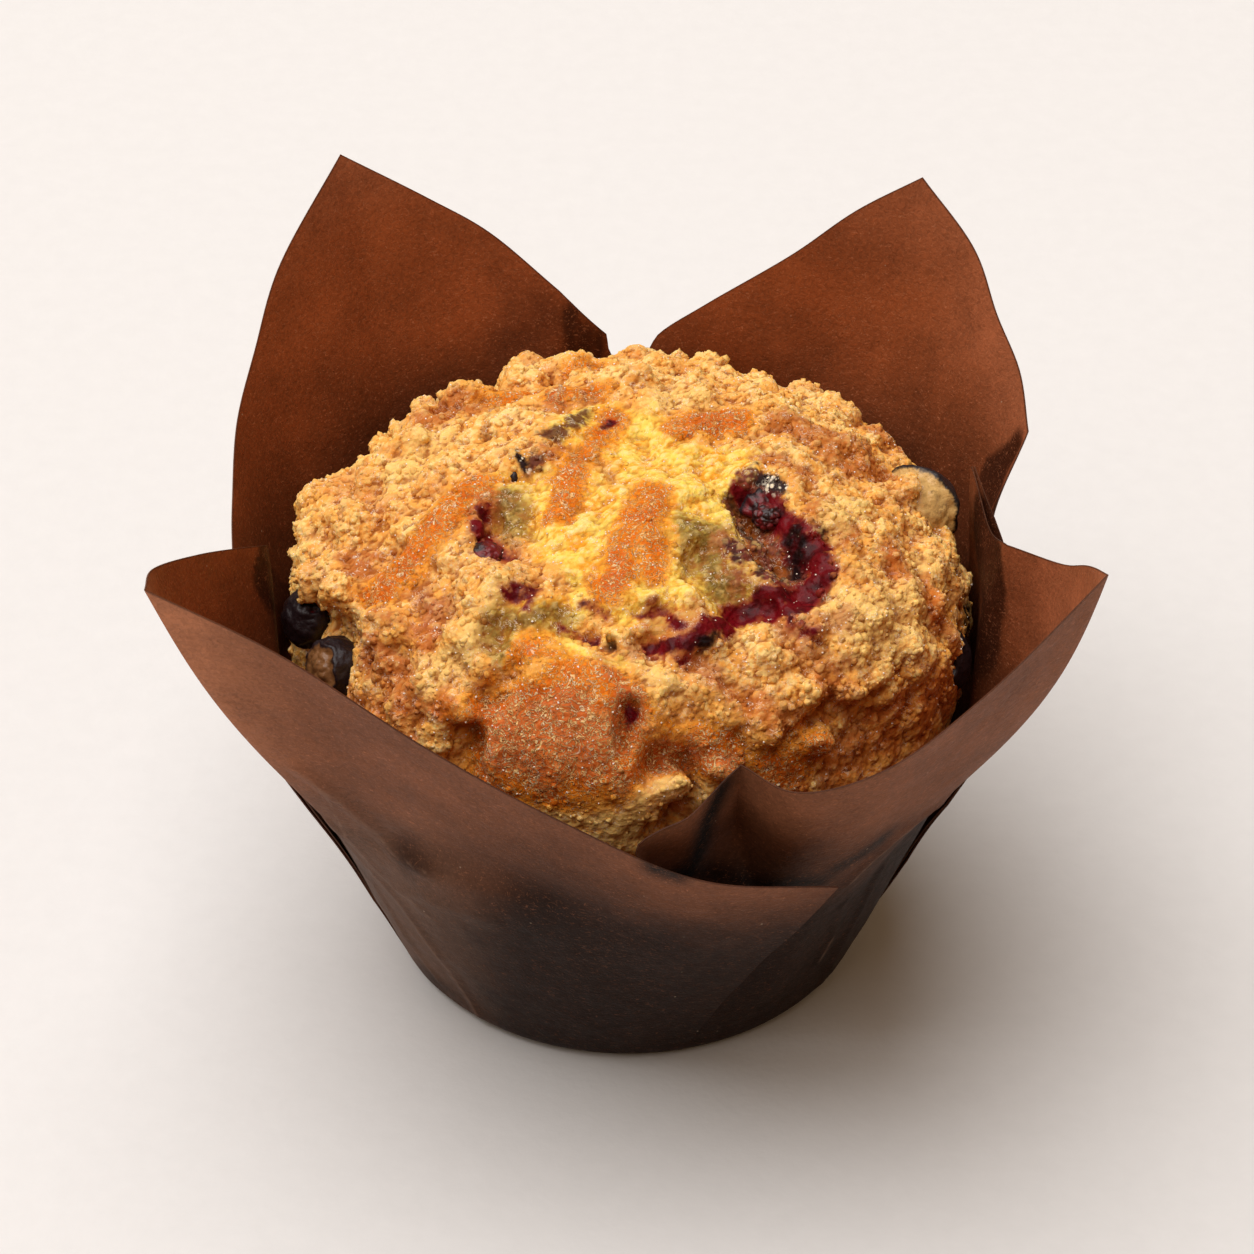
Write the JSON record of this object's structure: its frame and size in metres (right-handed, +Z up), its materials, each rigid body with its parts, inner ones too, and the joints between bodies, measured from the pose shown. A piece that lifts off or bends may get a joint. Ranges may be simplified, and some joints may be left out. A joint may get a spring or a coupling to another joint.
{
  "type": "streusel berry muffin in a tulip paper case",
  "caption": "Domed golden muffin with streusel crumbs and sunk berries, baked in a folded brown tulip paper case with upright petals.",
  "frame": {"origin": "centre of the flat base, on the table", "axes": "+Z up, -Y towards the front, +X to the right seen from the front"},
  "size_m": [0.0948, 0.0915, 0.0736],
  "materials": {
    "case_paper": "matt brown baking paper with a faint sheen, darker towards the base",
    "muffin_crumb": null,
    "berry_skin": null
  },
  "bodies": {
    "root": {"paper_case": "case_paper", "muffin": "muffin_crumb", "berry_crater": "berry_skin", "berry_edge_right": "berry_skin", "berry_side_left": "berry_skin", "berry_side_front": "berry_skin", "berry_side_right": "berry_skin", "berry_top_left": "berry_skin", "berry_burst_left": "berry_skin"}
  },
  "joints": []
}
